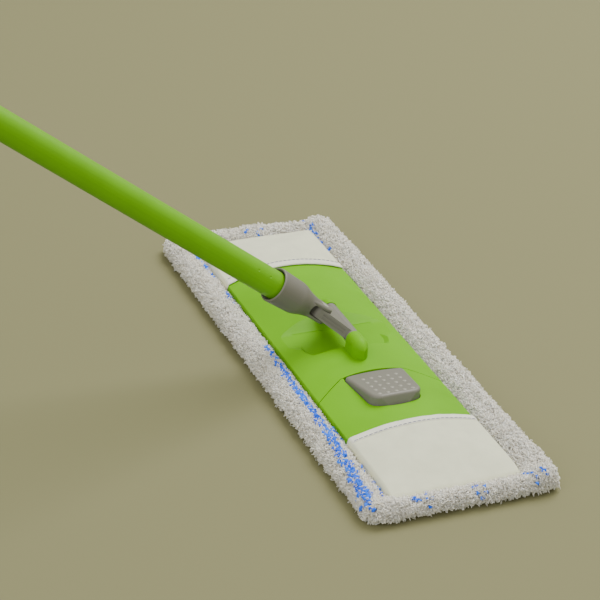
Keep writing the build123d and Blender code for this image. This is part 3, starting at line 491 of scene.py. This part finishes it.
def surface_samples(piece, count, keep):
    """Random places on a mesh with their normals, where keep(point, normal) holds."""
    piece.data.calc_loop_triangles()
    corners = points_of(piece)
    triangles = np.array([t.vertices for t in piece.data.loop_triangles])
    a, b, c = (corners[triangles[:, k]] for k in range(3))
    normal = np.cross(b - a, c - a)
    area = np.linalg.norm(normal, axis=1)
    normal = normal / np.maximum(area, TINY)[:, None]
    usable = keep((a + b + c) / 3, normal) & (area > 0)
    area = np.where(usable, area, 0)
    chosen = rng.choice(len(area), count, p=area / area.sum())
    u, v = rng.random(count), rng.random(count)
    over = u + v > 1
    u, v = np.where(over, 1 - u, u), np.where(over, 1 - v, v)
    place = a[chosen] + (b[chosen] - a[chosen]) * u[:, None] + (c[chosen] - a[chosen]) * v[:, None]
    return place, normal[chosen]


LOOP_RINGS = 4
LOOP_SIDES = 3
LOOP_TURN = math.pi * 0.92  # a yarn end bends right over, by nearly half a turn
LOOP_UNRULY = 0.45        # how far the ends stray from the surface's normal
THICK_RANGE = (0.75, 1.3)  # each yarn end's own sizes, as shares of those asked for
TALL_RANGE = (0.6, 1.55)
REACH_RANGE = (0.6, 1.3)
ROOT_SUNK = 0.5           # the root starts this share of the thickness under the surface
END_GIRTH = 0.8           # a yarn end's radius at its ends, as a share of the thickness
MIDDLE_GIRTH = 0.35       # and what its middle adds to that
FLOOR_GAP = 0.1 * MM      # no yarn comes lower than this


def yarn_loops(name, places, normals, thick, tall, reach, material):
    """Short curled ends of yarn standing on a surface, each a bent tube with a thicker middle."""
    count = len(places)
    spin = rng.normal(size=(count, 3))
    lean = unit(spin - normals * np.sum(spin * normals, axis=1)[:, None])
    up = unit(normals + LOOP_UNRULY * rng.normal(size=(count, 3)))
    side = unit(np.cross(up, lean))
    thick = thick * rng.uniform(*THICK_RANGE, count)
    tall = tall * rng.uniform(*TALL_RANGE, count)
    reach = reach * rng.uniform(*REACH_RANGE, count)
    rings = []
    for ring in range(LOOP_RINGS):
        turn = LOOP_TURN * ring / (LOOP_RINGS - 1)
        centre = places + up * (tall * math.sin(turn))[:, None] - up * (thick * ROOT_SUNK)[:, None]
        centre = centre + lean * (reach * (1 - math.cos(turn)) / 2)[:, None]
        climb = up * (tall * math.cos(turn))[:, None]
        along = unit(climb + lean * (reach * math.sin(turn) / 2)[:, None])
        out = np.cross(side, along)
        girth = thick * (END_GIRTH + MIDDLE_GIRTH * math.sin(turn))
        for corner in range(LOOP_SIDES):
            angle = 2 * math.pi * corner / LOOP_SIDES
            offset = side * math.cos(angle) + out * math.sin(angle)
            rings.append(centre + offset * girth[:, None])
    verts = np.stack(rings, 1).reshape(-1, 3)
    verts[:, 2] = np.maximum(verts[:, 2], FLOOR_GAP)
    step = np.arange(count)[:, None] * (LOOP_RINGS * LOOP_SIDES)
    sides = (np.array(tube_sides(LOOP_RINGS, LOOP_SIDES))[None] + step[:, :, None]).reshape(-1, 4)
    tips = (LOOP_RINGS - 1) * LOOP_SIDES + np.arange(LOOP_SIDES) + step
    piece = mesh_piece(name, verts, sides.tolist() + tips.tolist())
    piece.data.materials.append(material)
    across_fold(piece)


COVERED_IN = 1 * MM       # the plate and pockets cover the pad to this far inside the pockets' ends
COVERED_ABOVE = 3.5 * MM
PILE_ABOVE = 1.8 * MM     # the sides have pile from this height
SIDES_FACE = -0.3         # lowest upward part of a normal on the sides
UNDERSIDE_FACES = -0.5    # highest upward part of a normal on the underside


def under_cover(point):
    """True where the plate or a pocket lies over the pad."""
    inside_x = np.abs(point[:, 0]) < pocket_high.x - COVERED_IN
    inside_y = np.abs(point[:, 1]) < half_width
    return inside_x & inside_y & (point[:, 2] > COVERED_ABOVE)


def pile_region(low_y, high_y, ends=False):
    """A test for one stretch of the border's top and sides, or for the part of it at both ends."""
    def keep(point, normal):
        upper = (normal[:, 2] > SIDES_FACE) & (point[:, 2] > PILE_ABOVE)
        kept = upper & ~under_cover(point) & (point[:, 1] > low_y) & (point[:, 1] < high_y)
        if ends:
            kept &= np.abs(point[:, 0]) > backing_high.x
        return kept
    return keep


def underside(point, normal):
    """A test for the pad's underside."""
    return normal[:, 2] < UNDERSIDE_FACES


# ------------------------------------------------------------------ pockets
CLOTH_OVER = 1.2 * MM     # the cloth's middle over the plate
CLOTH_THICK = 0.8 * MM
CLOTH_FOOT = 2 * MM       # the cloth comes down to this height over the backing
CLOTH_LINES = 45          # lines of corners from the mouth to the end
CLOTH_STATIONS = 81       # corners on each line
SIDE_TURN = 2.4 * MM      # the cloth turns down over this width at its sides
END_TURN = 3 * MM         # and from this far inside the CAD pocket's end
END_PAST = 0.5 * MM       # to this far past it, where it stops
CLOTH_IN = 0.3 * MM       # its sides lie this far inside the CAD pocket's
half_cloth = pocket_high.y - CLOTH_IN
cloth_end = pocket_high.x + END_PAST

WRINKLE_SIZE = 34 * MM
WRINKLE_RISE = 0.35 * MM
PULL_SIZE = 14 * MM       # lines of pull run from the mouth
PULL_RISE = 0.3 * MM
PULL_STRETCH = (0.35, 1.6, 1)  # longer along the head than across it
PULL_REACH = 30 * MM
CALM_EDGE = 6 * MM        # the cloth is smooth this near its sides


def crown_height(x, y):
    """Height of the plate's top, with the ridge where it falls to the end rounded off."""
    inner = np.minimum(np.abs(y), half_width)
    arc = plate_high.z - crown_radius + np.sqrt(crown_radius ** 2 - inner ** 2)
    taper = plate_high.z - TAPER_FALL * (np.abs(x) - TAPER_FROM)
    gap = np.clip((arc - taper) / RIDGE_SOFT, -1, 1)
    rounded = (arc + taper) / 2 - RIDGE_SOFT * (1 + gap ** 2) / 4
    return np.where(np.abs(arc - taper) < RIDGE_SOFT, rounded, np.minimum(arc, taper))


def pocket_points(along, across, direction, lift=0.0):
    """Points on a pocket's cloth: along in metres from the middle of the head, across from -1 to 1."""
    x = along
    y = across * half_cloth
    z = crown_height(x, y) + CLOTH_OVER
    edge = smoothstep(half_cloth - SIDE_TURN, half_cloth, np.abs(y))
    z = z - edge ** 2 * (z - backing_high.z - CLOTH_FOOT)
    end = smoothstep(pocket_high.x - END_TURN, cloth_end, x)
    z = z - end ** 2 * (z - backing_high.z - CLOTH_FOOT)
    flat = np.stack([x, y, z], -1).reshape(-1, 3)
    wrinkle = waves(flat, WRINKLE_SIZE, 5 + direction) * WRINKLE_RISE
    pull = waves(flat * np.array(PULL_STRETCH), PULL_SIZE, 8 + direction) * PULL_RISE
    near_mouth = 1 - smoothstep(pocket_low.x, pocket_low.x + PULL_REACH, flat[:, 0])
    calm = 1 - smoothstep(half_cloth - CALM_EDGE, half_cloth, np.abs(flat[:, 1]))
    flat[:, 2] += (wrinkle * calm + pull * near_mouth * calm) + lift
    flat[:, 0] *= direction
    return flat


FAR_BOW = 2.5 * MM        # the far pocket's mouth recedes by this in the middle
NEAR_BOW = 0.8 * MM       # and the near one's by this
CROWDING = 0.35           # share of the stations' places that is crowded towards the sides


def mouth_place(across, direction):
    """Where the mouth's edge runs."""
    bow = FAR_BOW if direction < 0 else NEAR_BOW
    return pocket_low.x + bow * (1 - across ** 2)


def across_lines():
    """Stations across the pocket, closer together where the cloth turns down at the sides."""
    even = np.linspace(-1, 1, CLOTH_STATIONS)
    return np.sin(even * math.pi / 2) * CROWDING + even * (1 - CROWDING)


def make_pocket(name, direction, body):
    """One pocket: a thin cloth from the mouth over the plate's end."""
    stations = across_lines()
    lines = []
    for share in np.linspace(0, 1, CLOTH_LINES):
        mouth = mouth_place(stations, direction)
        along = mouth * (1 - share) + cloth_end * share
        lines.append(pocket_points(along, stations, direction))
    faces = sheet_grid(len(lines), len(stations))
    if direction < 0:
        faces = faces[:, ::-1]
    pocket = mesh_piece(name, np.concatenate(lines), faces)
    thicken = pocket.modifiers.new("thickness", "SOLIDIFY")
    thicken.thickness = CLOTH_THICK
    thicken.offset = 0
    pocket.data.materials.append(materials["pocket_cloth"])
    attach(pocket, body)
    return pocket


HEM = [  # (distance in from the mouth, height over the cloth), in mm, round the hem's section
    (6.6, 0.35), (6.4, 0.95), (4.0, 1.15), (1.2, 1.1), (-0.3, 0.8),
    (-0.9, 0.1), (-0.5, -0.6), (1.0, -0.75), (5.5, -0.5),
]
HEM_SIDE = 0.985          # the hem stops a little short of the cloth's sides


def make_hem(name, direction, body):
    """The folded hem along a pocket's mouth."""
    stations = across_lines() * HEM_SIDE
    lines = []
    for inward, height in HEM:
        along = mouth_place(stations, direction) + inward * MM
        lines.append(pocket_points(along, stations, direction, height * MM))
    count = len(stations)
    faces = []
    for line in range(len(HEM)):
        low, high = line * count, (line + 1) % len(HEM) * count
        for i in range(count - 1):
            faces.append((low + i, low + i + 1, high + i + 1, high + i))
    faces.append(tuple(line * count for line in range(len(HEM)))[::-1])
    faces.append(tuple(line * count + count - 1 for line in range(len(HEM))))
    if direction < 0:
        faces = [f[::-1] for f in faces]
    hem = mesh_piece(name, np.concatenate(lines), faces)
    hem.data.materials.append(hem_cloth)
    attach(hem, body)
    return hem


STITCH = 3.3 * MM
STITCH_PITCH = 3.9 * MM
STITCH_R = 0.24 * MM
STITCH_IN = 5.6 * MM      # distance of the row from the mouth
STITCH_OVER = 1.15 * MM   # its height over the cloth
STITCH_SIDES = 3 * MM     # the row starts this far from the pocket's side
STITCH_RINGS = (  # (share of the length, height in mm, share of the radius)
    (0, -0.3, 0.5), (0.2, 0.1, 1), (0.8, 0.1, 1), (1, -0.3, 0.5),
)
STITCH_CORNERS = ((1, 0), (0, 1), (-1, 0), (0, -1))


def make_stitches(name, starts, ends, body):
    """Short straight stitches lying on the cloth, each a rounded bar sunk at both ends."""
    corners = len(STITCH_CORNERS)
    verts, faces = [], []
    for first, second in zip(starts, ends, strict=True):
        run = second - first
        aside = unit(np.cross(run, [0, 0, 1])[None])[0]
        base = len(verts)
        for share, rise, girth in STITCH_RINGS:
            centre = first + run * share + np.array([0, 0, rise * MM])
            for sx, sz in STITCH_CORNERS:
                verts.append(centre + (aside * sx + np.array([0, 0, sz])) * STITCH_R * girth)
        faces += tube_sides(len(STITCH_RINGS), corners, base)
        faces.append(tuple(range(base, base + corners))[::-1])
        faces.append(tuple(range(len(verts) - corners, len(verts))))
    piece = mesh_piece(name, verts, faces)
    piece.data.materials.append(thread_blue)
    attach(piece, body)
    return piece


def hem_stitches(name, direction, body):
    """The row of stitches that holds the hem."""
    half_row = pocket_high.y - STITCH_SIDES
    starts = np.arange(-half_row, half_row, STITCH_PITCH) / pocket_high.y
    ends = []
    for across in (starts, starts + STITCH / pocket_high.y):
        along = mouth_place(across, direction) + STITCH_IN
        ends.append(pocket_points(along, across, direction, STITCH_OVER))
    return make_stitches(name, *ends, body)


# ------------------------------------------------------------------ build the cover
pad = make_pad()
pad_tree = surface_tree(pad)

PILE_LONG = 10000         # yarn ends in one layer of a long border
PILE_END = 3400           # and in one layer of both ends together
PILE_UNDER = 5600
PILE_START = 6 * MM       # the long borders' pile starts this far inside the plate's edge
PILE_LAYERS = (("a", 0.34 * MM, 3.4 * MM), ("b", 0.46 * MM, 2.4 * MM))  # (word, thickness, height)
PILE_REACH = 2.0 * MM
UNDER_FORM = (1.0 * MM, 1.3 * MM, 5.0 * MM)  # thickness, height and reach on the underside
BLUE_FORM = (1.05 * MM, 2.2 * MM, 2.0 * MM)  # and of the blue yarn
BLUE_OVER = 1.6 * MM      # the blue yarn's roots over the pad
BUNCH_STEP = 3.2 * MM
BUNCH_SPREAD = 1.6 * MM


def make_pile():
    """The pile's loops, in pieces: both long borders, both ends and the underside."""
    wide, narrow = pad_high.y, half_width - PILE_START
    regions = (
        ("pile_left", pile_region(-wide, -narrow), PILE_LONG),
        ("pile_right", pile_region(narrow, wide), PILE_LONG),
        ("pile_ends", pile_region(-narrow, narrow, ends=True), PILE_END),
    )
    pile = materials["loop_pile"]
    for name, keep, count in regions:
        for layer, thick, tall in PILE_LAYERS:
            places, normals = surface_samples(pad, count, keep)
            yarn_loops(f"{name}_{layer}", places, normals, thick, tall, PILE_REACH, pile)
    places, normals = surface_samples(pad, PILE_UNDER, underside)
    yarn_loops("pile_underside", places, normals, *UNDER_FORM, pile)


def blue_line(start, end, share, spread, bunch):
    """Places of coloured yarn along a line: in bunches, present for a share of its length."""
    start, end = np.array(start) * MM, np.array(end) * MM
    length = np.linalg.norm(end - start)
    run = (end - start) / length
    aside = np.array([-run[1], run[0]])
    places = []
    at = 0.0
    while at < length:
        grown = share[0] + (share[1] - share[0]) * at / length
        if rng.random() < grown:
            for _ in range(bunch):
                along = at + rng.normal() * BUNCH_SPREAD
                places.append(start + run * along + aside * rng.normal() * spread * MM)
        at += BUNCH_STEP
    return places


BLUE_LINES = [  # (start, end, share of the length at each, spread, yarns in a bunch), in mm
    ((-178, -59), (-80, -58), (0.55, 0.4), 0.9, 4),
    ((-18, -60), (45, -62), (0.8, 0.95), 1.0, 6),
    ((45, -62), (112, -63.5), (1.0, 1.0), 1.2, 9),
    ((112, -63.5), (206, -71), (1.0, 0.95), 1.5, 8),
    ((98, -56.5), (124, -56.5), (0.6, 0.5), 0.9, 3),
    ((150, -56.5), (193, -57), (0.4, 0.5), 1.0, 3),
    ((-198, 57), (-157, 56), (0.9, 0.6), 1.3, 4),
]
BLUE_SPOTS = [(206, -31), (208, 16), (206, 62), (-204, 2), (-204, 47)]  # near the ends, in mm
SPOT_HALF = 7             # half a spot's length, in mm
SPOT_FORM = ((0.9, 0.9), 3.6, 2)  # shares, spread in mm and yarns in a bunch, as above


def make_blue_yarn():
    """Coloured yarn worked into the pile: lines along both long borders, and spots at the ends."""
    places = []
    for start, end, share, spread, bunch in BLUE_LINES:
        places += blue_line(start, end, share, spread, bunch)
    for x, y in BLUE_SPOTS:
        places += blue_line((x, y - SPOT_HALF), (x, y + SPOT_HALF), *SPOT_FORM)
    found = [surface_under(pad_tree, x, y) for x, y in places]
    found = [(hit, normal) for hit, normal in found if hit is not None]
    normals = np.array([normal for _, normal in found])
    roots = np.array([hit for hit, _ in found]) + normals * BLUE_OVER
    yarn_loops("blue_yarn", roots, normals, *BLUE_FORM, blue_yarn)


make_pile()
make_blue_yarn()
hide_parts("loop_pad_main", "loop_pad_flap")
across_fold(pad)

for word, direction, body, plate in (("near", 1, FLAP, "flap_plate"), ("far", -1, MAIN, "main_plate")):
    pocket = make_pocket(f"{word}_pocket", direction, body)
    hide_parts(f"pocket_{word}")
    hem = make_hem(f"{word}_hem", direction, body)
    seam = hem_stitches(f"{word}_stitches", direction, body)


# ------------------------------------------------------------------ the pedal's dots
DOT_R = 1.7 * MM
DOT_RISE = 0.6 * MM
DOT_ROWS = 5
DOT_PITCH_X = 7.3 * MM
DOT_PITCH_Y = 6.9 * MM
DOT_INSET = 7.4 * MM      # the nearest row, in from the pedal's near edge
DOT_SUNK = 0.1 * MM       # a dot's foot lies this far under the pedal's top
DOT_RINGS = 4
DOT_SIDES = 14


def make_dots():
    """Low domes on the pedal's tread, in a square grid, placed on its own mesh."""
    tree = surface_tree(frame["nodes"]["pedal"])
    first_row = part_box("pedal")[1].x - DOT_INSET
    verts, faces = [], []
    for row in range(DOT_ROWS):
        for column in range(DOT_ROWS):
            x = first_row - row * DOT_PITCH_X
            y = (column - (DOT_ROWS - 1) / 2) * DOT_PITCH_Y
            hit, normal = surface_under(tree, x, y)
            along = normal.orthogonal().normalized()
            aside = normal.cross(along)
            base = len(verts)
            for ring in range(DOT_RINGS):
                tip = math.pi / 2 * ring / DOT_RINGS
                radius, rise = DOT_R * math.cos(tip), DOT_RISE * math.sin(tip) - DOT_SUNK
                for side in range(DOT_SIDES):
                    turn = 2 * math.pi * side / DOT_SIDES
                    spot = along * math.cos(turn) + aside * math.sin(turn)
                    verts.append(tuple(hit + spot * radius + normal * rise))
            verts.append(tuple(hit + normal * (DOT_RISE - DOT_SUNK)))
            faces += tube_sides(DOT_RINGS, DOT_SIDES, base)
            top = base + (DOT_RINGS - 1) * DOT_SIDES
            for side in range(DOT_SIDES):
                faces.append((top + side, top + (side + 1) % DOT_SIDES, base + DOT_RINGS * DOT_SIDES))
            faces.append(tuple(base + side for side in range(DOT_SIDES))[::-1])
    dots = mesh_piece("pedal_dots", verts, faces)
    # the lighter grey on the dots is a painted highlight
    dots.data.materials.append(dot_highlight_grey)
    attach(dots, "pedal_lever")


make_dots()


# ------------------------------------------------------------------ floor, light and camera
FLOOR_HALF = 25
FLOOR_COLOUR = (0.174, 0.171, 0.09)
LIGHTS = (  # (name, place, size, power)
    ("key", (-0.8, 1.5, 2.6), 2.3, 140),
    ("fill", (1.5, -1.9, 1.9), 3.2, 60),
)
LIGHT_COLOUR = (1.0, 0.985, 0.94)
WORLD_COLOUR = (0.86, 0.84, 0.68)
WORLD_STRENGTH = 0.9


def make_floor():
    """A wide plain floor under the mop."""
    corners = [(x * FLOOR_HALF, y * FLOOR_HALF, 0) for x, y in ((-1, -1), (1, -1), (1, 1), (-1, 1))]
    floor = mesh_piece("floor", corners, [(0, 1, 2, 3)])
    made, _, shader = new_material("floor_paint", FLOOR_COLOUR, 0.8)
    shader.inputs["Specular IOR Level"].default_value = 0.2
    floor.data.materials.append(made)


def soft_light(name, place, size, power):
    """A round soft light that looks at the head of the mop."""
    lamp = bpy.data.lights.new(name, "AREA")
    lamp.shape = "DISK"
    lamp.size = size
    lamp.energy = power
    lamp.color = LIGHT_COLOUR
    holder = bpy.data.objects.new(name, lamp)
    holder.location = place
    holder.rotation_mode = "QUATERNION"
    holder.rotation_quaternion = (-Vector(place)).to_track_quat("-Z", "Y")
    bpy.context.scene.collection.objects.link(holder)


def make_world():
    """An even pale light from all round."""
    world = bpy.data.worlds.new("studio")
    world.use_nodes = True
    background = world.node_tree.nodes["Background"]
    background.inputs["Color"].default_value = (*WORLD_COLOUR, 1)
    background.inputs["Strength"].default_value = WORLD_STRENGTH
    bpy.context.scene.world = world


CAMERA_AZIMUTH = 64.8     # degrees from the -Y axis, towards +X
CAMERA_ELEVATION = 29.5   # degrees over the floor
CAMERA_ROLL = 4.2         # degrees
CAMERA_DISTANCE = 1.771
CAMERA_AIM = Vector((-0.103, 0.006, 0.0))
CAMERA_LENS = 128.04


def make_camera():
    """The camera, looking down the head from its pedal end."""
    turn, rise = math.radians(CAMERA_AZIMUTH), math.radians(CAMERA_ELEVATION)
    back = Vector((math.sin(turn) * math.cos(rise), -math.cos(turn) * math.cos(rise), math.sin(rise)))
    right = Vector((0, 0, 1)).cross(back).normalized()
    roll = Matrix.Rotation(math.radians(CAMERA_ROLL), 3, back)
    right = roll @ right
    up = back.cross(right)
    data = bpy.data.cameras.new("camera")
    data.lens = CAMERA_LENS
    camera = bpy.data.objects.new("camera", data)
    bpy.context.scene.collection.objects.link(camera)
    turned = Matrix((right, up, back)).transposed().to_4x4()
    camera.matrix_world = Matrix.Translation(CAMERA_AIM + back * CAMERA_DISTANCE) @ turned
    bpy.context.scene.camera = camera


make_floor()
for light in LIGHTS:
    soft_light(*light)
make_world()
make_camera()
